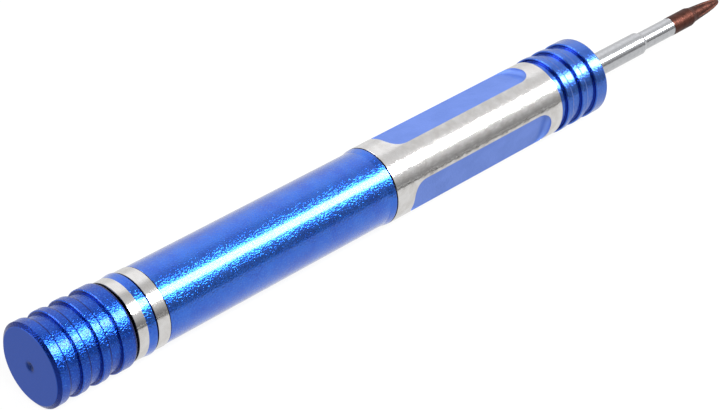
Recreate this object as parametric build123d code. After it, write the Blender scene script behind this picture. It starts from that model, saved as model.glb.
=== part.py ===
from build123d import *
import os
from math import cos, pi, sin

# Precision screwdriver with a ball-bearing swivel cap.
# The tool lies along +X: the cap's flat end face is at x = 0 and the point is at the far end.
# +Z is up. All lengths are millimetres, and every station is a distance from the cap's end face.

# Swivel cap
CAP_RADIUS = 5.0
CAP_LENGTH = 10.6
CAP_END_WALL = 2.2
CAP_REAR_CHAMFER = (0.35, 0.5)  # along the axis, across it
CAP_FRONT_ROUND = 0.55
CAP_RELIEF_RADIUS = 2.95  # clears the screw head and the ring's moving face
CENTRE_MARK = (0.65, 0.3)  # radius, depth

# Ring grooves, the same cutter on the cap and on the nose collar
GROOVE_FLOOR_RADIUS = 4.6
GROOVE_COUNT = 3
EDGE_BREAK = 0.1  # 45 degrees, on the rear edge of each land
EDGE_EASE = (0.22, 0.08)  # along, across, on the front edge of each land
CAP_GROOVE_FRONT = 3.15  # front wall of the rearmost groove
CAP_GROOVE_PITCH = 2.7
CAP_GROOVE_WIDTH = 1.55

# Miniature ball bearing, 3 x 7 x 3
BEARING_BORE_RADIUS = 1.5
BEARING_OUTER_RADIUS = 3.5
BEARING_WIDTH = 3.0
BEARING_REAR = 4.6
PITCH_RADIUS = 2.5
BALL_RADIUS = 0.6
BALL_COUNT = 7
RACE_CLEARANCE = 0.02
INNER_LAND_RADIUS = 2.12
OUTER_LAND_RADIUS = 2.88
SHIELD_SEAT_RADIUS = 3.0
SHIELD_SEAT_DEPTH = 0.2
SHIELD_THICKNESS = 0.12
SHIELD_BORE_RADIUS = 2.25
CAGE_RADII = (2.28, 2.72)
CAGE_WIDTH = 1.7
CAGE_POCKET_CLEARANCE = 0.04

# Shoulder screw and spacer that hold the bearing on the handle
SCREW_HEAD_RADIUS = 2.0
SCREW_HEAD_HEIGHT = 1.2
SCREW_SOCKET = (1.3, 0.7)  # across flats, depth
SCREW_SHOULDER_RADIUS = 1.49
SCREW_THREAD_RADIUS = 1.25
SCREW_END = 14.6
SCREW_CLAMP_GAP = 0.1
SCREW_HEAD_CHAMFER = 0.15
SCREW_POINT_CHAMFER = 0.3
SPACER_THICKNESS = 0.6
SPACER_BORE_RADIUS = 1.53
BOSS_RADIUS = 2.1

# Barrel, the rear half of the handle
SWIVEL_GAP = 0.2
BAND_RADIUS = 4.75
BARREL_RADIUS = 4.70
FLARE_RADIUS = 4.87
FLARE_LENGTH = 0.9
FLARE_ROUND = 0.2
LIP_ROUND = 0.19
RING_START = 12.15
RING_END = 13.42
BANDS_END = 15.3
LINE_WIDTH = 0.16
LINE_DEPTH = 0.1
BAND_EDGE_BREAK = 0.05
BARREL_WALL_START = 17.0
BARREL_BORE_RADIUS = 3.2
BARREL_FRONT = 49.53

# Grip, the front half of the handle
SPIGOT_RADIUS = 3.5
SPIGOT_LENGTH = 8.0
GRIP_RADIUS = 4.88
GRIP_END = 78.55
WINDOW_ENDS = (52.4, 76.45)
WINDOW_WIDTH = 5.76  # of the cutter; its round lower edge leaves a window 5 mm wide
WINDOW_CORNER_RADIUS = 2.2
WINDOW_FLOOR_ROUND = 0.6  # where the floor turns up into the wall
WINDOW_FLOOR = 4.15  # floor's distance from the axis
WINDOW_COUNT = 3
WINDOW_PHASE = -13.3  # degrees about +X from straight up to the first window
COLLAR_RADIUS = 5.0
COLLAR_FIRST_LAND = 79.57
COLLAR_PITCH = 2.67
COLLAR_LAND_WIDTH = 1.05
COLLAR_FRONT = 87.05
COLLAR_FRONT_ROUND = 0.35
SEAM_BREAK = 0.08
GRIP_RELIEF_RADIUS = 1.8
BORE_MOUTH_CHAMFER = 0.1

# Blade
TANG_START = 62.0
TANG_RADIUS = 1.3
TANG_LEAD = 0.3
SHANK_RADIUS = 1.5
SHANK_END = 98.8
STEP_LENGTH = 0.6
NECK_RADIUS = 1.22
POINT_START = 105.3
POINT_RADIUS = 1.25
POINT_OUTLINE = [(109.3, 1.25), (110.1, 1.05), (113.1, 0.81), (114.6, 0.62), (115.5, 0.41)]
BLADE_END = 115.8
BLADE_END_RADIUS = 0.26
KNURL = (64.0, 72.0)
KNURL_TEETH = 24
KNURL_HEIGHT = 0.06
FLUTE_START = 109.6  # where the flute's root breaks out of the blade
FLUTE_START_RADIUS = 1.15
FLUTE_TILT = 9.0  # degrees between the flute's root and the axis
FLUTE_COUNT = 4

BEARING_FRONT = BEARING_REAR + BEARING_WIDTH
BEARING_MIDDLE = BEARING_REAR + BEARING_WIDTH / 2
BOSS_END = BEARING_FRONT + SPACER_THICKNESS
BARREL_REAR = CAP_LENGTH + SWIVEL_GAP


def turned(outline):
    """A solid of revolution about the tool's axis, from (station, radius) points."""
    return revolve(make_face(Polyline(*outline, close=True)), Axis.X, 360)


def disc(radius, start, end):
    return turned([(start, 0), (start, radius), (end, radius), (end, 0)])


def tube(inner, outer, start, end):
    return turned([(start, inner), (start, outer), (end, outer), (end, inner)])


def rim(part, station, radius):
    """The circular edge of a turned part at this station and radius."""
    circles = part.edges().filter_by(GeomType.CIRCLE)
    return [edge for edge in circles
            if abs(edge.arc_center.X - station) < 1e-3 and abs(edge.radius - radius) < 1e-3]


def ring_groove(start, end, floor, outer):
    """Cutter for a square groove that also eases the edges of the two lands beside it."""
    along, across = EDGE_EASE
    clear = outer + 1.0
    return turned([
        (start, floor), (end, floor),
        (end, outer - EDGE_BREAK), (end + EDGE_BREAK, outer), (end + EDGE_BREAK, clear),
        (start - along, clear), (start - along, outer), (start, outer - across),
    ])


def around_axis(count, phase=0.0):
    """Rotations that spread copies evenly about the tool's axis."""
    return [Rot(phase + 360.0 * index / count, 0, 0) for index in range(count)]


def make_cap_shell():
    along, across = CAP_REAR_CHAMFER
    cap = turned([(0, 0), (0, CAP_RADIUS - across), (along, CAP_RADIUS),
                  (CAP_LENGTH, CAP_RADIUS), (CAP_LENGTH, 0)])
    cap = fillet(rim(cap, CAP_LENGTH, CAP_RADIUS), CAP_FRONT_ROUND)
    for index in range(GROOVE_COUNT):
        front = CAP_GROOVE_FRONT + index * CAP_GROOVE_PITCH
        cap -= ring_groove(front - CAP_GROOVE_WIDTH, front, GROOVE_FLOOR_RADIUS, CAP_RADIUS)
    cap -= disc(CAP_RELIEF_RADIUS, CAP_END_WALL, BEARING_REAR)
    cap -= disc(BEARING_OUTER_RADIUS, BEARING_REAR, CAP_LENGTH)
    mark_radius, mark_depth = CENTRE_MARK
    return cap - turned([(0, 0), (0, mark_radius), (mark_depth, 0)])


def race_groove():
    """The torus that the two raceways are ground to."""
    section = Pos(BEARING_MIDDLE, PITCH_RADIUS) * Circle(BALL_RADIUS + RACE_CLEARANCE)
    return revolve(section, Axis.X, 360)


def make_inner_ring():
    ring = tube(BEARING_BORE_RADIUS, INNER_LAND_RADIUS, BEARING_REAR, BEARING_FRONT)
    return ring - race_groove()


def make_outer_ring():
    ring = tube(OUTER_LAND_RADIUS, BEARING_OUTER_RADIUS, BEARING_REAR, BEARING_FRONT)
    seats = [(BEARING_REAR, BEARING_REAR + SHIELD_SEAT_DEPTH),
             (BEARING_FRONT - SHIELD_SEAT_DEPTH, BEARING_FRONT)]
    for start, end in seats:
        ring -= disc(SHIELD_SEAT_RADIUS, start, end)
    return ring - race_groove()


def make_shield(start):
    return tube(SHIELD_BORE_RADIUS, SHIELD_SEAT_RADIUS, start, start + SHIELD_THICKNESS)


def make_balls():
    """The balls as a dict of name to solid, the first one straight up."""
    ball = Pos(BEARING_MIDDLE, 0, PITCH_RADIUS) * Sphere(BALL_RADIUS)
    turns = around_axis(BALL_COUNT)
    return {f"bearing_ball_{number}": turn * ball for number, turn in enumerate(turns, 1)}


def make_cage():
    inner, outer = CAGE_RADII
    cage = tube(inner, outer, BEARING_MIDDLE - CAGE_WIDTH / 2, BEARING_MIDDLE + CAGE_WIDTH / 2)
    drill = Cylinder(BALL_RADIUS + CAGE_POCKET_CLEARANCE, 2 * BALL_RADIUS)
    for turn in around_axis(BALL_COUNT):
        cage -= turn * Pos(BEARING_MIDDLE, 0, PITCH_RADIUS) * drill
    return cage


def make_swivel_screw():
    head_start = BEARING_REAR - SCREW_HEAD_HEIGHT
    screw = disc(SCREW_HEAD_RADIUS, head_start, BEARING_REAR)
    screw = chamfer(rim(screw, head_start, SCREW_HEAD_RADIUS), SCREW_HEAD_CHAMFER)
    screw += disc(SCREW_SHOULDER_RADIUS, BEARING_REAR, BOSS_END - SCREW_CLAMP_GAP)
    thread = disc(SCREW_THREAD_RADIUS, BOSS_END - SCREW_CLAMP_GAP, SCREW_END)
    screw += chamfer(rim(thread, SCREW_END, SCREW_THREAD_RADIUS), SCREW_POINT_CHAMFER)
    across_flats, depth = SCREW_SOCKET
    hexagon = RegularPolygon(across_flats / 2, 6, major_radius=False)
    return screw - Plane.YZ.offset(head_start) * extrude(hexagon, depth)


def make_spacer():
    return tube(SPACER_BORE_RADIUS, BOSS_RADIUS, BEARING_FRONT, BOSS_END)


def make_barrel():
    ring_top = RING_END - FLARE_ROUND
    barrel = turned([
        (BOSS_END, 0), (BOSS_END, BOSS_RADIUS), (BARREL_REAR, BOSS_RADIUS),
        (BARREL_REAR, BAND_RADIUS - BAND_EDGE_BREAK),
        (BARREL_REAR + BAND_EDGE_BREAK, BAND_RADIUS),
        (RING_START, BAND_RADIUS), (RING_START + FLARE_LENGTH, FLARE_RADIUS),
        (ring_top, FLARE_RADIUS), (RING_END - LINE_WIDTH / 2, BAND_RADIUS - LINE_DEPTH),
        (RING_END, BAND_RADIUS),
        (BANDS_END - LINE_WIDTH, BAND_RADIUS),
        (BANDS_END - LINE_WIDTH / 2, BARREL_RADIUS - LINE_DEPTH),
        (BANDS_END, BARREL_RADIUS), (BARREL_FRONT - FLARE_ROUND - FLARE_LENGTH, BARREL_RADIUS),
        (BARREL_FRONT - FLARE_ROUND, FLARE_RADIUS), (BARREL_FRONT, FLARE_RADIUS),
        (BARREL_FRONT, 0),
    ])
    barrel = fillet(rim(barrel, BARREL_FRONT, FLARE_RADIUS), LIP_ROUND)
    barrel -= disc(SCREW_THREAD_RADIUS, BOSS_END, BARREL_WALL_START)
    barrel -= disc(BARREL_BORE_RADIUS, BARREL_WALL_START, BARREL_FRONT)
    return barrel - disc(SPIGOT_RADIUS, BARREL_FRONT - SPIGOT_LENGTH, BARREL_FRONT)


def make_window_cutter():
    rear, front = WINDOW_ENDS
    outline = RectangleRounded(front - rear, WINDOW_WIDTH, WINDOW_CORNER_RADIUS)
    above_floor = 2.0
    cutter = extrude(outline, above_floor)
    cutter = fillet(cutter.edges().group_by(Axis.Z)[0], WINDOW_FLOOR_ROUND)
    return Pos((rear + front) / 2, 0, WINDOW_FLOOR) * cutter


def make_grip(blade):
    grip = turned([
        (BARREL_FRONT - SPIGOT_LENGTH, 0), (BARREL_FRONT - SPIGOT_LENGTH, SPIGOT_RADIUS),
        (BARREL_FRONT, SPIGOT_RADIUS), (BARREL_FRONT, GRIP_RADIUS - SEAM_BREAK),
        (BARREL_FRONT + SEAM_BREAK, GRIP_RADIUS), (GRIP_END - SEAM_BREAK, GRIP_RADIUS),
        (GRIP_END, GRIP_RADIUS - SEAM_BREAK), (GRIP_END, GROOVE_FLOOR_RADIUS),
        (COLLAR_FIRST_LAND, GROOVE_FLOOR_RADIUS),
        (COLLAR_FIRST_LAND, COLLAR_RADIUS - EDGE_BREAK),
        (COLLAR_FIRST_LAND + EDGE_BREAK, COLLAR_RADIUS),
        (COLLAR_FRONT, COLLAR_RADIUS), (COLLAR_FRONT, 0),
    ])
    grip = fillet(rim(grip, COLLAR_FRONT, COLLAR_RADIUS), COLLAR_FRONT_ROUND)
    for index in range(GROOVE_COUNT - 1):
        land = COLLAR_FIRST_LAND + index * COLLAR_PITCH
        grip -= ring_groove(land + COLLAR_LAND_WIDTH, land + COLLAR_PITCH,
                            GROOVE_FLOOR_RADIUS, COLLAR_RADIUS)
    for turn in around_axis(WINDOW_COUNT, WINDOW_PHASE):
        grip -= turn * make_window_cutter()
    grip -= disc(GRIP_RELIEF_RADIUS, BARREL_FRONT - SPIGOT_LENGTH, TANG_START)
    grip -= disc(TANG_RADIUS, TANG_START, COLLAR_FRONT)
    grip = chamfer(rim(grip, COLLAR_FRONT, TANG_RADIUS), BORE_MOUTH_CHAMFER)
    return grip - blade


def make_knurl():
    """Straight knurl that is pressed into the grip, so the blade can't turn."""
    step = 2 * pi / KNURL_TEETH
    crest = TANG_RADIUS + KNURL_HEIGHT
    outline = []
    for tooth in range(KNURL_TEETH):
        for radius, angle in ((TANG_RADIUS, tooth * step), (crest, (tooth + 0.5) * step)):
            outline.append((radius * cos(angle), radius * sin(angle)))
    start, end = KNURL
    section = make_face(Polyline(*outline, close=True))
    return Plane.YZ.offset(start) * extrude(section, end - start)


def make_flute_cutter():
    """A right-angled V whose root slopes in towards the point."""
    size = 1.5
    length = 9.0
    section = make_face(Polyline((0, 0), (size, size), (-size, size), close=True))
    cutter = Plane.YZ * extrude(section, length)
    return Pos(FLUTE_START, 0, FLUTE_START_RADIUS) * Rot(0, FLUTE_TILT, 0) * cutter


def make_blade():
    """One turned piece: a tang pressed in up to its shoulder, the shank, the neck and the point."""
    blade = turned([
        (TANG_START, 0), (TANG_START, TANG_RADIUS - TANG_LEAD),
        (TANG_START + TANG_LEAD, TANG_RADIUS), (COLLAR_FRONT, TANG_RADIUS),
        (COLLAR_FRONT, SHANK_RADIUS), (SHANK_END, SHANK_RADIUS),
        (SHANK_END + STEP_LENGTH, NECK_RADIUS),
        (POINT_START, NECK_RADIUS), (POINT_START, POINT_RADIUS),
        *POINT_OUTLINE, (BLADE_END, BLADE_END_RADIUS), (BLADE_END, 0),
    ])
    blade += make_knurl()
    for turn in around_axis(FLUTE_COUNT):
        blade -= turn * make_flute_cutter()
    return blade


def make_parts():
    blade = make_blade()
    rear_shield = BEARING_REAR + SHIELD_SEAT_DEPTH - SHIELD_THICKNESS
    return {
        "cap_shell": make_cap_shell(),
        "bearing_outer_ring": make_outer_ring(),
        "bearing_inner_ring": make_inner_ring(),
        **make_balls(),
        "bearing_cage": make_cage(),
        "bearing_shield_rear": make_shield(rear_shield),
        "bearing_shield_front": make_shield(BEARING_FRONT - SHIELD_SEAT_DEPTH),
        "swivel_screw": make_swivel_screw(),
        "swivel_spacer": make_spacer(),
        "barrel": make_barrel(),
        "grip": make_grip(blade),
        "blade": blade,
    }


os.makedirs("parts", exist_ok=True)
for name, solid in make_parts().items():
    export_step(solid, f"parts/{name}.step")
    print(name, round(solid.volume, 2), "mm3")
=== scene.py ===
from math import cos, pi, radians, sin, tan

import bpy
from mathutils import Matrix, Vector


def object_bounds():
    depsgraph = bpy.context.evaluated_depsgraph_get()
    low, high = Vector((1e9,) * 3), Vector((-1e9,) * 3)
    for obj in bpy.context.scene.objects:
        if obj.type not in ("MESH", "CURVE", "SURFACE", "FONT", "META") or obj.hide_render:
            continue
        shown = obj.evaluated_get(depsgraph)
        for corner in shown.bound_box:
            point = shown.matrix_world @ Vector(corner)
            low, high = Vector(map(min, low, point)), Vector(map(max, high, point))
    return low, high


# Looks, light and camera for the precision screwdriver.
# The tool lies along +X from its cap to its point, +Z is up, and every length here is in metres.
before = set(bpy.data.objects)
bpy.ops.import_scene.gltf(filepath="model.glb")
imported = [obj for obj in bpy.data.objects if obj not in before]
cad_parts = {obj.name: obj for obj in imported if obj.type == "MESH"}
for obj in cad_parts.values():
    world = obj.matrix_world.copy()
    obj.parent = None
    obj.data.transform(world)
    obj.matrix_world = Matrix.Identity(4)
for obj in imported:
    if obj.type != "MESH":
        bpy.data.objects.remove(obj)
CAD_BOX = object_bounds()

MM = 0.001

# Stations along the tool, from the cap's end face
END_FACE_DEPTH = 0.05 * MM
CAP_REAR_EDGE_END = 0.36 * MM
CENTRE_MARK_DEPTH = 1.0 * MM
CAP_FRONT_EDGE_START = 10.1 * MM
REAR_BAND_START = 10.87 * MM
BLUE_RING = (12.15 * MM, 13.42 * MM)
RING_LINE = (13.28 * MM, 13.52 * MM)  # painted shade: the dark line at the front of the blue ring
BANDS_END = 15.16 * MM
LINES_END = 16.0 * MM
LIP_START = 49.2 * MM
SEAM_END = 49.60 * MM
WINDOWS_START = 51.0 * MM
WINDOWS_END = 77.0 * MM
COLLAR_START = 78.47 * MM
COATED_POINT_START = 105.3 * MM
BLADE_END = 115.8 * MM

# Distances from the axis
BARE_GRIP_RADIUS = 4.862 * MM  # outside this, the grip is bare, and inside it are the blue windows
CAP_WALL_RADII = (4.63 * MM, 4.88 * MM)
COLLAR_WALL_RADII = (4.63 * MM, 4.80 * MM)
EASED_EDGE_RADII = (4.85 * MM, 4.99 * MM)
CENTRE_MARK_RADII = (0.85 * MM, 0.3 * MM)  # where the mark begins and where it is darkest
CAP_FRONT_EDGE_RADIUS = 4.90 * MM
BAND_LINE_RADIUS = 4.685 * MM
LIP_EDGE_RADIUS = 4.84 * MM

# How far a surface faces along the tool: 1 to the point, -1 to the cap
STEEP_WALL = 0.9
EASED_SLOPE = (0.15, 0.9)
WINDOW_END_WALL = (-0.1, -0.9)

# Colours, linear
ANODISED_BLUE = (0.018, 0.160, 0.780)
ANODISED_DEEP = (0.010, 0.110, 0.680)
ANODISED_PALE = (0.050, 0.230, 0.840)
CAP_BLUE = (0.014, 0.092, 0.560)
CAP_DEEP = (0.010, 0.066, 0.460)
COLLAR_BLUE = (0.056, 0.172, 0.670)
COLLAR_DEEP = (0.040, 0.138, 0.600)
FACE_BLUE = (0.036, 0.098, 0.450)
FACE_MARK = (0.014, 0.036, 0.170)
WINDOW_BLUE = (0.104, 0.197, 0.565)
WINDOW_DEEP = (0.086, 0.174, 0.520)
# Painted light: the end walls of the windows that face the cap are painted this lighter blue.
LIT_WINDOW_WALL = (0.190, 0.330, 0.800)
# Painted shade: the groove walls, the eased edges and the cap's rear edge are painted this dark blue.
PAINTED_SHADE_BLUE = (0.006, 0.028, 0.230)
# Painted shade: the gap behind the cap, the fine lines, the seam and the shaded front edges are painted near
# black.
PAINTED_DARK_SHADE = (0.004, 0.007, 0.035)
BARE_ALUMINIUM = (0.82, 0.81, 0.80)
BARE_ALUMINIUM_DULL = (0.72, 0.70, 0.68)
PLATING = (0.62, 0.63, 0.65)
PLATING_DULL = (0.54, 0.55, 0.57)
COATING = (0.100, 0.036, 0.026)
COATING_DARK = (0.046, 0.017, 0.012)
GROUND_STEEL = (0.58, 0.58, 0.60)
GROUND_STEEL_DULL = (0.44, 0.44, 0.46)
POLISHED_STEEL = (0.74, 0.74, 0.76)
POLISHED_STEEL_DULL = (0.64, 0.64, 0.67)
BRASS = (0.72, 0.50, 0.20)
BRASS_DULL = (0.52, 0.34, 0.13)
OILED_STEEL = (0.20, 0.20, 0.22)
OILED_STEEL_DULL = (0.11, 0.11, 0.12)

# Sizes of the spots and rings in the finishes
DYE_CLOUD_SIZE = 2.5 * MM
DYE_SPECK_SIZE = 0.16 * MM
GRIT_SIZE = 0.19 * MM
COLLAR_GRIT_SIZE = 0.24 * MM
PIT_SIZE = 0.19 * MM
FINE_SIZE = 0.10 * MM
TURNING_SIZE = 0.12 * MM
COLLAR_TURNING_SIZE = 0.16 * MM
BARREL_MOTTLE_SIZE = 1.2 * MM
GRIP_MOTTLE_SIZE = 1.4 * MM
BRUSHED_SIZE = 0.6 * MM
BLADE_FINE_SIZE = 0.12 * MM
BLADE_TURNING_SIZE = 0.08 * MM
PLATING_STREAK_SIZE = 0.5 * MM
COATING_PATCH_SIZE = 0.7 * MM
MACHINED_PATCH_SIZE = 0.8 * MM

# How far they stand out
CAP_GRIT_DEPTH = 0.074 * MM
CAP_FACE_GRIT_DEPTH = 0.010 * MM
CAP_TURNING_DEPTH = 0.008 * MM
BARREL_GRIT_DEPTH = 0.027 * MM
BAND_GRIT_DEPTH = 0.006 * MM
BARREL_PIT_DEPTH = 0.014 * MM
BARREL_TURNING_DEPTH = 0.002 * MM
COLLAR_GRIT_DEPTH = 0.032 * MM
BRUSHED_DEPTH = 0.024 * MM
COLLAR_PIT_DEPTH = 0.010 * MM
COLLAR_TURNING_DEPTH = 0.006 * MM
BLADE_TURNING_DEPTH = 0.0001 * MM
COATING_DEPTH = 0.003 * MM
MACHINED_RING_DEPTH = 0.0012 * MM

# Roughness, as one value or as the two ends of its range
CAP_ROUGHNESS = (0.18, 0.26)
CAP_FACE_ROUGHNESS = 0.50
BARREL_ROUGHNESS = (0.13, 0.19)
BARE_ROUGHNESS = (0.17, 0.11)
COLLAR_ROUGHNESS = (0.16, 0.24)
WINDOW_ROUGHNESS = 0.70
PLATING_ROUGHNESS = (0.13, 0.18)
COATING_ROUGHNESS = 0.46

# The clear oxide layer: how strong it is on each surface, and its roughness
CAP_OXIDE = 0.32
CAP_EDGE_OXIDE = 0.1  # the end face and the edges
CAP_OXIDE_ROUGHNESS = 0.16
BARREL_OXIDE = 1.0
BARREL_OXIDE_ROUGHNESS = 0.15
WINDOW_OXIDE = 0.45
COLLAR_OXIDE = 0.60
GRIP_OXIDE_ROUGHNESS = 0.16
OXIDE_IOR = 1.5

WINDOW_METALLIC = 0.75  # the blasted windows scatter some of the light
TIP_WEAR = 0.25  # how much more of the coating is dark at the point

# Studio
FLOOR_HEIGHT = CAD_BOX[0].z
FLOOR_RADIUS = 12.0
FLOOR_CORNERS = 96
FLOOR_COLOUR = (0.06, 0.06, 0.06)
FLOOR_GLOW = 0.92
CARD_LIFT = 0.1 * MM
CARD_ENDS = (-0.15, 0.70)
BLACK_CARD_SIDES = (-0.300, -0.058)  # it lies on the floor beside the camera
BLACK_CARD_GLOW = 0.07
SHADOW_CARD_SIDES = (-0.058, 0.250)  # it lies under the tool: a painted shadow of the tool on the floor, seen only in the reflections
SHADOW_CARD_GLOW = 0.79
SOFTBOX_RADIANCE = 16.0
SOFTBOX_ELEVATION = 50.5
SOFTBOX_SPAN = 20.0  # degrees that its width takes up, seen from the tool
SOFTBOX_DISTANCE = 0.60
SOFTBOX_CENTRE_X = 0.40
SOFTBOX_LENGTH = 1.40
RIM_LIGHT_RADIANCE = 4.0
RIM_LIGHT_DIRECTION = Vector((-0.66, 0.50, 0.56))
RIM_LIGHT_DISTANCE = 0.80
RIM_LIGHT_SIZE = 0.45

# The white tent. Radiances, and the parts of the unit direction between which they change.
SKY_TINT = (0.99, 0.99, 1.0)
SKY_BEHIND = (0.80, 1.06)  # on the far side of the tool, low down and high up
SKY_BEHIND_HEIGHTS = (0.20, 0.55)
SKY_OVERHEAD = (0.50, 0.74)  # above the cap end and above the point end
SKY_OVERHEAD_STATIONS = (0.42, 0.62)
SKY_FAR_SIDE = (0.02, 0.34)
HORIZON_SHARE = 0.36  # how much of it is left low down on the near side
HORIZON_HEIGHTS = (0.02, 0.50)
NEAR_SIDE = (-0.45, -0.15)
DARK_CORNER = Vector((-0.84, -0.45, 0.30))  # direction of the unlit corner of the room
DARK_CORNER_EDGES = (0.60, 0.85)
DARK_CORNER_SHARE = 0.30

# Camera
CAMERA_AZIMUTH = -44.68
CAMERA_ELEVATION = 32.92
CAMERA_DISTANCE = 0.250
CAMERA_TARGET = Vector((43.72, -4.47, 2.16)) * MM
CAMERA_CLIP_START = 0.01
LENS_MM = 110.0
SENSOR_MM = 36.0


class Finish:
    """A metal's node tree, with short ways to add patterns that follow the turned shape."""

    def __init__(self, name):
        self.material = bpy.data.materials.new(name)
        self.material.use_nodes = True
        self.tree = self.material.node_tree
        self.surface = self.tree.nodes["Principled BSDF"]
        self.surface.inputs["Metallic"].default_value = 1.0
        coordinates = self.add("ShaderNodeTexCoord")
        self.position = coordinates.outputs["Object"]
        split = self.add("ShaderNodeSeparateXYZ", self.position)
        self.along = split.outputs["X"]
        across = self.add("ShaderNodeCombineXYZ", 0.0, split.outputs["Y"], split.outputs["Z"]).outputs[0]
        self.radius = self.add("ShaderNodeVectorMath", across, operation="LENGTH").outputs["Value"]
        normal = self.add("ShaderNodeSeparateXYZ", coordinates.outputs["Normal"])
        self.facing = normal.outputs["X"]

    def link(self, output, socket):
        self.tree.links.new(output, socket)

    def add(self, kind, *inputs, **settings):
        """A node with these settings, its first sockets set or linked in order."""
        node = self.tree.nodes.new(kind)
        for name, value in settings.items():
            setattr(node, name, value)
        for socket, value in zip(node.inputs, inputs):
            self.put(value, socket)
        return node

    def put(self, value, socket):
        if isinstance(value, bpy.types.NodeSocket):
            self.link(value, socket)
        else:
            socket.default_value = value

    def math(self, operation, *inputs):
        return self.add("ShaderNodeMath", *inputs, operation=operation).outputs[0]

    def above(self, value, threshold):
        return self.math("GREATER_THAN", value, threshold)

    def below(self, value, threshold):
        return self.math("LESS_THAN", value, threshold)

    def both(self, *masks):
        joined = masks[0]
        for mask in masks[1:]:
            joined = self.math("MULTIPLY", joined, mask)
        return joined

    def either(self, *masks):
        joined = masks[0]
        for mask in masks[1:]:
            joined = self.math("MAXIMUM", joined, mask)
        return joined

    def between(self, value, low, high):
        return self.both(self.above(value, low), self.below(value, high))

    def ramp(self, value, low, high, start=0.0, end=1.0):
        """value from low to high becomes start to end, and is held at both ends."""
        node = self.add("ShaderNodeMapRange", value, low, high, start, end)
        return node.outputs["Result"]

    def patches(self, noise):
        """Noise as two tones with soft borders."""
        return self.ramp(noise, 0.35, 0.65)

    def vary(self, noise, start=0.0, end=1.0):
        """A number that wanders from start to end as the noise does."""
        return self.ramp(noise, 0.3, 0.7, start, end)

    def blend(self, share, a, b):
        """Colour a where share is 0 and b where it is 1."""
        node = self.add("ShaderNodeMix", data_type="RGBA")
        self.put(share, node.inputs["Factor"])
        for name, colour in (("A", a), ("B", b)):
            socket = [s for s in node.inputs if s.name == name and s.type == "RGBA"][0]
            self.put(colour if isinstance(colour, bpy.types.NodeSocket) else (*colour, 1), socket)
        return [s for s in node.outputs if s.type == "RGBA"][0]

    def mix(self, share, a, b):
        """Number a where share is 0 and b where it is 1."""
        node = self.add("ShaderNodeMix", data_type="FLOAT")
        self.put(share, node.inputs["Factor"])
        for name, value in (("A", a), ("B", b)):
            self.put(value, [s for s in node.inputs if s.name == name and s.type == "VALUE"][0])
        return [s for s in node.outputs if s.type == "VALUE"][0]

    def noise(self, size, detail):
        """Cloudy noise, 0 to 1, whose spots are about this size."""
        node = self.add("ShaderNodeTexNoise")
        self.put(self.position, node.inputs["Vector"])
        node.inputs["Scale"].default_value = 1.0 / size
        node.inputs["Detail"].default_value = detail
        return node.outputs["Fac"]

    def rings(self, value, size):
        """Noise that changes only with value, so it draws the rings a lathe tool leaves."""
        node = self.add("ShaderNodeTexNoise", noise_dimensions="1D")
        self.link(value, node.inputs["W"])
        node.inputs["Scale"].default_value = 1.0 / size
        node.inputs["Detail"].default_value = 2.0
        return node.outputs["Fac"]

    def bump(self, height, depth, before=None):
        """The normal of a surface that stands out by depth where height is 1."""
        node = self.add("ShaderNodeBump")
        node.inputs["Strength"].default_value = 1.0
        self.put(depth, node.inputs["Distance"])
        self.put(height, node.inputs["Height"])
        if before is not None:
            self.link(before, node.inputs["Normal"])
        return node.outputs["Normal"]

    def set(self, name, value):
        self.put(value, self.surface.inputs[name])

    def wear(self, *nodes):
        """Puts this finish on the named CAD nodes."""
        for name in nodes:
            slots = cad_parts[name].data.materials
            slots.clear()
            slots.append(self.material)


def dyed_colour(finish, deep, middle, pale):
    """Dye that took a little unevenly."""
    cloud = finish.patches(finish.noise(DYE_CLOUD_SIZE, detail=3.0))
    speck = finish.ramp(finish.noise(DYE_SPECK_SIZE, detail=1.0), 0.55, 0.80)
    return finish.blend(speck, finish.blend(cloud, deep, middle), pale)


def bare_colour(finish, mottle):
    """Bare aluminium with duller patches."""
    return finish.blend(finish.patches(mottle), BARE_ALUMINIUM_DULL, BARE_ALUMINIUM)


def oxide_layer(finish, weight, roughness):
    """The clear hard layer over dyed aluminium."""
    finish.set("Coat Weight", weight)
    finish.set("Coat Roughness", roughness)
    finish.set("Coat IOR", OXIDE_IOR)


def grit(finish, size):
    """The blasted grain of the anodised surfaces."""
    return finish.noise(size, detail=1.5)


def pitted(finish, depth, before):
    """The normal with sparse small bumps added, which catch the light beside a highlight."""
    bumps = finish.ramp(finish.noise(PIT_SIZE, detail=1.0), 0.5, 0.8)
    return finish.bump(bumps, depth, before)


def groove_walls(finish, radii):
    """Mask of the steep walls of the ring grooves between these radii."""
    steep = finish.above(finish.math("ABSOLUTE", finish.facing), STEEP_WALL)
    return finish.both(steep, finish.between(finish.radius, *radii))


def eased_edges(finish):
    """Mask of the slopes that ease the front edge of each raised ring."""
    sloping = finish.between(finish.facing, *EASED_SLOPE)
    return finish.both(sloping, finish.between(finish.radius, *EASED_EDGE_RADII))


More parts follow.
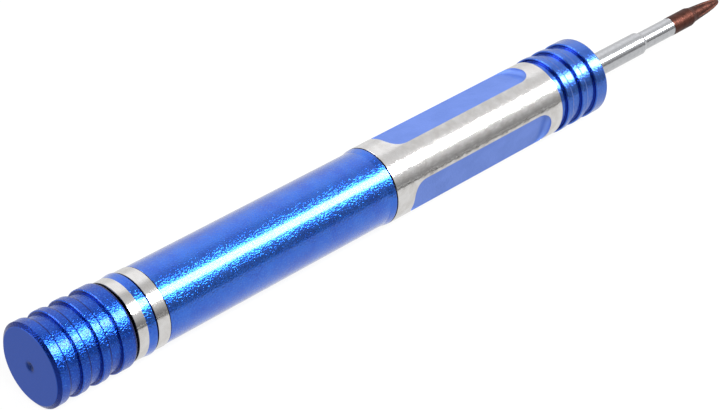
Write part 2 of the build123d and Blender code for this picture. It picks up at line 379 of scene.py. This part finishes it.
def make_cap_finish():
    finish = Finish("cap_blue")
    on_face = finish.below(finish.along, END_FACE_DEPTH)
    rear_edge = finish.between(finish.along, END_FACE_DEPTH, CAP_REAR_EDGE_END)
    in_mark = finish.both(finish.ramp(finish.radius, *CENTRE_MARK_RADII),
                          finish.below(finish.along, CENTRE_MARK_DEPTH))
    eased = eased_edges(finish)
    walls = finish.either(groove_walls(finish, CAP_WALL_RADII), eased)
    front_edge = finish.both(finish.above(finish.along, CAP_FRONT_EDGE_START),
                             finish.below(finish.radius, CAP_FRONT_EDGE_RADIUS))
    fine = finish.noise(FINE_SIZE, detail=1.0)
    turning = finish.rings(finish.mix(on_face, finish.along, finish.radius), TURNING_SIZE)
    normal = finish.bump(grit(finish, GRIT_SIZE), finish.mix(on_face, CAP_GRIT_DEPTH, CAP_FACE_GRIT_DEPTH))
    normal = finish.bump(turning, CAP_TURNING_DEPTH, normal)
    colour = dyed_colour(finish, CAP_DEEP, CAP_BLUE, ANODISED_PALE)
    # Painted shade on the cap's rear edge.
    colour = finish.blend(rear_edge, colour, PAINTED_SHADE_BLUE)
    colour = finish.blend(on_face, colour, FACE_BLUE)
    colour = finish.blend(in_mark, colour, FACE_MARK)
    # Painted shade on the groove walls and the eased edges.
    colour = finish.blend(walls, colour, PAINTED_SHADE_BLUE)
    # Painted shade on the front edge beside the gap.
    colour = finish.blend(front_edge, colour, PAINTED_DARK_SHADE)
    finish.set("Base Color", colour)
    finish.set("Roughness", finish.mix(on_face, finish.vary(fine, *CAP_ROUGHNESS), CAP_FACE_ROUGHNESS))
    finish.set("Normal", normal)
    thin_oxide = finish.either(on_face, eased, rear_edge)
    oxide_layer(finish, finish.mix(thin_oxide, CAP_OXIDE, CAP_EDGE_OXIDE), CAP_OXIDE_ROUGHNESS)
    return finish


def make_barrel_finish():
    finish = Finish("barrel_blue_and_bare")
    off_ring = finish.math("SUBTRACT", 1.0, finish.between(finish.along, *BLUE_RING))
    bare = finish.both(finish.between(finish.along, REAR_BAND_START, BANDS_END), off_ring)
    # Where painted shade goes: the bottoms of the V lines, the line at the ring's front, the lip's front
    # edge and the face in the gap.
    band_lines = finish.both(finish.below(finish.radius, BAND_LINE_RADIUS),
                             finish.below(finish.along, LINES_END))
    ring_line = finish.between(finish.along, *RING_LINE)
    at_lip = finish.both(finish.above(finish.along, LIP_START),
                         finish.below(finish.radius, LIP_EDGE_RADIUS))
    at_gap = finish.below(finish.along, REAR_BAND_START)
    fine = finish.noise(FINE_SIZE, detail=1.0)
    mottle = finish.noise(BARREL_MOTTLE_SIZE, detail=3.0)
    turning = finish.rings(finish.along, TURNING_SIZE)
    normal = finish.bump(grit(finish, GRIT_SIZE), finish.mix(bare, BARREL_GRIT_DEPTH, BAND_GRIT_DEPTH))
    normal = pitted(finish, finish.mix(bare, BARREL_PIT_DEPTH, 0.0), normal)
    normal = finish.bump(turning, BARREL_TURNING_DEPTH, normal)
    colour = dyed_colour(finish, ANODISED_DEEP, ANODISED_BLUE, ANODISED_PALE)
    colour = finish.blend(bare, colour, bare_colour(finish, mottle))
    # Painted shade: these lines, edges and the gap face are painted near black.
    colour = finish.blend(finish.either(band_lines, ring_line, at_lip, at_gap), colour, PAINTED_DARK_SHADE)
    finish.set("Base Color", colour)
    blue_roughness = finish.vary(fine, *BARREL_ROUGHNESS)
    bare_roughness = finish.vary(mottle, *BARE_ROUGHNESS)
    finish.set("Roughness", finish.mix(bare, blue_roughness, bare_roughness))
    finish.set("Normal", normal)
    oxide_layer(finish, finish.mix(bare, BARREL_OXIDE, 0.0), BARREL_OXIDE_ROUGHNESS)
    return finish


def make_grip_finish():
    finish = Finish("grip_bare_and_blue")
    outside = finish.either(finish.above(finish.radius, BARE_GRIP_RADIUS),
                            finish.below(finish.along, WINDOWS_START),
                            finish.above(finish.along, WINDOWS_END))
    bare = finish.both(outside, finish.below(finish.along, COLLAR_START))
    on_collar = finish.above(finish.along, COLLAR_START)
    collar_walls = finish.both(groove_walls(finish, COLLAR_WALL_RADII), on_collar)
    window_wall = finish.ramp(finish.facing, *WINDOW_END_WALL)
    in_seam = finish.both(finish.below(finish.along, SEAM_END),
                          finish.below(finish.radius, BARE_GRIP_RADIUS))
    mottle = finish.noise(GRIP_MOTTLE_SIZE, detail=4.0)
    fine = finish.noise(FINE_SIZE, detail=1.0)
    brushed = finish.noise(BRUSHED_SIZE, detail=4.0)
    turning = finish.rings(finish.along, COLLAR_TURNING_SIZE)
    grain = finish.mix(bare, grit(finish, COLLAR_GRIT_SIZE), brushed)
    normal = finish.bump(grain, finish.mix(bare, COLLAR_GRIT_DEPTH, BRUSHED_DEPTH))
    normal = pitted(finish, finish.mix(on_collar, 0.0, COLLAR_PIT_DEPTH), normal)
    normal = finish.bump(finish.both(turning, on_collar), COLLAR_TURNING_DEPTH, normal)
    windows = dyed_colour(finish, WINDOW_DEEP, WINDOW_BLUE, WINDOW_BLUE)
    # Painted light: the end walls of the windows are painted lighter than the window floor.
    windows = finish.blend(window_wall, windows, LIT_WINDOW_WALL)
    collar = dyed_colour(finish, COLLAR_DEEP, COLLAR_BLUE, ANODISED_PALE)
    colour = finish.blend(on_collar, windows, collar)
    colour = finish.blend(bare, colour, bare_colour(finish, mottle))
    # Painted shade on the collar's groove walls.
    colour = finish.blend(collar_walls, colour, PAINTED_SHADE_BLUE)
    # Painted shade in the seam where the grip meets the barrel's lip.
    colour = finish.blend(in_seam, colour, PAINTED_DARK_SHADE)
    finish.set("Base Color", colour)
    blue_roughness = finish.mix(on_collar, WINDOW_ROUGHNESS, finish.vary(fine, *COLLAR_ROUGHNESS))
    bare_roughness = finish.vary(mottle, *BARE_ROUGHNESS)
    finish.set("Roughness", finish.mix(bare, blue_roughness, bare_roughness))
    finish.set("Metallic", finish.mix(finish.either(bare, on_collar), WINDOW_METALLIC, 1.0))
    finish.set("Normal", normal)
    blue_oxide = finish.mix(on_collar, WINDOW_OXIDE, COLLAR_OXIDE)
    oxide_layer(finish, finish.mix(bare, blue_oxide, 0.0), GRIP_OXIDE_ROUGHNESS)
    return finish


def make_blade_finish():
    finish = Finish("blade_plated_and_coated")
    coated = finish.above(finish.along, COATED_POINT_START)
    towards_tip = finish.ramp(finish.along, COATED_POINT_START, BLADE_END)
    fine = finish.noise(BLADE_FINE_SIZE, detail=2.0)
    turning = finish.rings(finish.along, BLADE_TURNING_SIZE)
    streak = finish.noise(PLATING_STREAK_SIZE, detail=3.0)
    patch = finish.noise(COATING_PATCH_SIZE, detail=3.0)
    plated = finish.blend(finish.vary(streak), PLATING_DULL, PLATING)
    worn = finish.math("ADD", patch, finish.math("MULTIPLY", towards_tip, TIP_WEAR))
    brown = finish.blend(finish.ramp(worn, 0.35, 0.80), COATING, COATING_DARK)
    finish.set("Base Color", finish.blend(coated, plated, brown))
    finish.set("Roughness", finish.mix(coated, finish.vary(fine, *PLATING_ROUGHNESS), COATING_ROUGHNESS))
    normal = finish.bump(turning, BLADE_TURNING_DEPTH)
    normal = finish.bump(finish.both(fine, coated), COATING_DEPTH, normal)
    finish.set("Normal", normal)
    return finish


def make_machined_finish(name, bright, dull, roughness, ring_size):
    """A small turned or ground part: rings along its length and across its end faces."""
    finish = Finish(name)
    rings = finish.rings(finish.math("ADD", finish.along, finish.radius), ring_size)
    patch = finish.noise(MACHINED_PATCH_SIZE, detail=3.0)
    finish.set("Base Color", finish.blend(finish.vary(patch), dull, bright))
    finish.set("Roughness", finish.vary(patch, roughness * 1.4, roughness * 0.8))
    finish.set("Normal", finish.bump(rings, MACHINED_RING_DEPTH))
    return finish


def dress_tool():
    make_cap_finish().wear("cap_shell")
    make_barrel_finish().wear("barrel")
    make_grip_finish().wear("grip")
    make_blade_finish().wear("blade")
    rings = make_machined_finish("ground_ring", GROUND_STEEL, GROUND_STEEL_DULL,
                                 roughness=0.22, ring_size=0.05 * MM)
    rings.wear("bearing_outer_ring", "bearing_inner_ring")
    shields = make_machined_finish("pressed_shield", GROUND_STEEL_DULL, GROUND_STEEL,
                                   roughness=0.35, ring_size=0.15 * MM)
    shields.wear("bearing_shield_rear", "bearing_shield_front")
    balls = make_machined_finish("polished_ball", POLISHED_STEEL, POLISHED_STEEL_DULL,
                                 roughness=0.07, ring_size=0.03 * MM)
    balls.wear(*[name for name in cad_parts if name.startswith("bearing_ball")])
    cage = make_machined_finish("cage_brass", BRASS, BRASS_DULL, roughness=0.30, ring_size=0.07 * MM)
    cage.wear("bearing_cage")
    screw = make_machined_finish("oiled_screw", OILED_STEEL, OILED_STEEL_DULL,
                                 roughness=0.38, ring_size=0.10 * MM)
    screw.wear("swivel_screw", "swivel_spacer")


def make_matt_material(name, colour, glow):
    """A matt surface that also gives off a plain white light of this radiance."""
    material = bpy.data.materials.new(name)
    material.use_nodes = True
    surface = material.node_tree.nodes["Principled BSDF"]
    surface.inputs["Base Color"].default_value = (*colour, 1)
    surface.inputs["Roughness"].default_value = 0.9
    surface.inputs["Specular IOR Level"].default_value = 0.0
    surface.inputs["Emission Color"].default_value = (1, 1, 1, 1)
    surface.inputs["Emission Strength"].default_value = glow
    return material


def make_floor():
    bpy.ops.mesh.primitive_circle_add(vertices=FLOOR_CORNERS, radius=FLOOR_RADIUS, fill_type="NGON",
                                      location=(0, 0, FLOOR_HEIGHT))
    floor = bpy.context.object
    floor.name = "floor"
    floor.data.materials.append(make_matt_material("floor_pale", FLOOR_COLOUR, FLOOR_GLOW))


def make_card(name, sides, glow):
    """A plain card on the floor, seen only in what the metal reflects."""
    left, right = CARD_ENDS
    near, far = sides
    centre = ((left + right) / 2, (near + far) / 2, FLOOR_HEIGHT + CARD_LIFT)
    bpy.ops.mesh.primitive_plane_add(size=1.0, location=centre)
    card = bpy.context.object
    card.name = name
    card.scale = (right - left, far - near, 1)
    card.data.materials.append(make_matt_material(name, (0, 0, 0), glow))
    card.visible_camera = False
    card.visible_diffuse = False
    card.visible_shadow = False


def make_sky():
    """A white tent: bright behind the tool, dimmer overhead, dark low down on the near side."""
    world = bpy.data.worlds.new("studio")
    world.use_nodes = True
    tree = world.node_tree

    def add(kind, *inputs, **settings):
        node = tree.nodes.new(kind)
        for name, value in settings.items():
            setattr(node, name, value)
        for socket, value in zip(node.inputs, inputs):
            if isinstance(value, bpy.types.NodeSocket):
                tree.links.new(value, socket)
            else:
                socket.default_value = value
        return node

    def ramp(value, limits, start, end):
        node = add("ShaderNodeMapRange", value, *limits, start, end, interpolation_type="SMOOTHSTEP")
        return node.outputs["Result"]

    def math(operation, *inputs):
        return add("ShaderNodeMath", *inputs, operation=operation).outputs[0]

    direction = add("ShaderNodeTexCoord").outputs["Generated"]
    split = add("ShaderNodeSeparateXYZ", direction)
    x, y, z = split.outputs["X"], split.outputs["Y"], split.outputs["Z"]
    behind = ramp(z, SKY_BEHIND_HEIGHTS, *SKY_BEHIND)
    overhead = ramp(x, SKY_OVERHEAD_STATIONS, *SKY_OVERHEAD)
    tent = ramp(y, SKY_FAR_SIDE, overhead, behind)
    low_share = ramp(z, HORIZON_HEIGHTS, 1 - HORIZON_SHARE, 0.0)
    near_side = ramp(y, NEAR_SIDE, 1.0, 0.0)
    near_dark = math("SUBTRACT", 1.0, math("MULTIPLY", low_share, near_side))
    corner = add("ShaderNodeVectorMath", direction, operation="DOT_PRODUCT")
    corner.inputs[1].default_value = DARK_CORNER.normalized()
    corner_dark = ramp(corner.outputs["Value"], DARK_CORNER_EDGES, 1.0, DARK_CORNER_SHARE)
    background = tree.nodes["Background"]
    background.inputs["Color"].default_value = (*SKY_TINT, 1)
    tree.links.new(math("MULTIPLY", math("MULTIPLY", tent, near_dark), corner_dark),
                   background.inputs["Strength"])
    bpy.context.scene.world = world


def add_lamp(name, light):
    """Puts an area light in the scene, hidden from the camera itself."""
    lamp = bpy.data.objects.new(name, light)
    lamp.visible_camera = False
    bpy.context.scene.collection.objects.link(lamp)
    return lamp


def make_softbox():
    """A long strip light beside the camera, in line with the tool."""
    width = 2 * SOFTBOX_DISTANCE * tan(radians(SOFTBOX_SPAN / 2))
    light = bpy.data.lights.new("softbox", "AREA")
    light.shape = "RECTANGLE"
    light.size = SOFTBOX_LENGTH
    light.size_y = width
    light.energy = SOFTBOX_RADIANCE * pi * SOFTBOX_LENGTH * width
    lamp = add_lamp("softbox", light)
    elevation = radians(SOFTBOX_ELEVATION)
    lamp.location = (SOFTBOX_CENTRE_X, -SOFTBOX_DISTANCE * cos(elevation), SOFTBOX_DISTANCE * sin(elevation))
    lamp.rotation_euler = (pi / 2 - elevation, 0, 0)


def make_rim_light():
    """A smaller light behind the cap, which picks out the edges of the ring grooves."""
    light = bpy.data.lights.new("rim_light", "AREA")
    light.shape = "DISK"
    light.size = RIM_LIGHT_SIZE
    light.energy = RIM_LIGHT_RADIANCE * pi * pi * (RIM_LIGHT_SIZE / 2) ** 2
    lamp = add_lamp("rim_light", light)
    direction = RIM_LIGHT_DIRECTION.normalized()
    lamp.location = direction * RIM_LIGHT_DISTANCE
    lamp.rotation_mode = "QUATERNION"
    lamp.rotation_quaternion = direction.to_track_quat("Z", "Y")


def make_camera():
    azimuth, elevation = radians(CAMERA_AZIMUTH), radians(CAMERA_ELEVATION)
    back = Vector((sin(azimuth) * cos(elevation), -cos(azimuth) * cos(elevation), sin(elevation)))
    data = bpy.data.cameras.new("camera")
    data.sensor_width = SENSOR_MM
    data.lens = LENS_MM
    data.clip_start = CAMERA_CLIP_START
    camera = bpy.data.objects.new("camera", data)
    camera.location = CAMERA_TARGET + back * CAMERA_DISTANCE
    camera.rotation_mode = "QUATERNION"
    camera.rotation_quaternion = (-back).to_track_quat("-Z", "Y")
    bpy.context.scene.collection.objects.link(camera)
    bpy.context.scene.camera = camera


dress_tool()
make_floor()
make_card("black_card", BLACK_CARD_SIDES, BLACK_CARD_GLOW)
# This card is a painted shadow: the tool's shade on the floor, seen only in what the metal reflects.
make_card("floor_shadow_card", SHADOW_CARD_SIDES, SHADOW_CARD_GLOW)
make_sky()
make_softbox()
make_rim_light()
make_camera()
bpy.context.scene.view_settings.view_transform = "Standard"
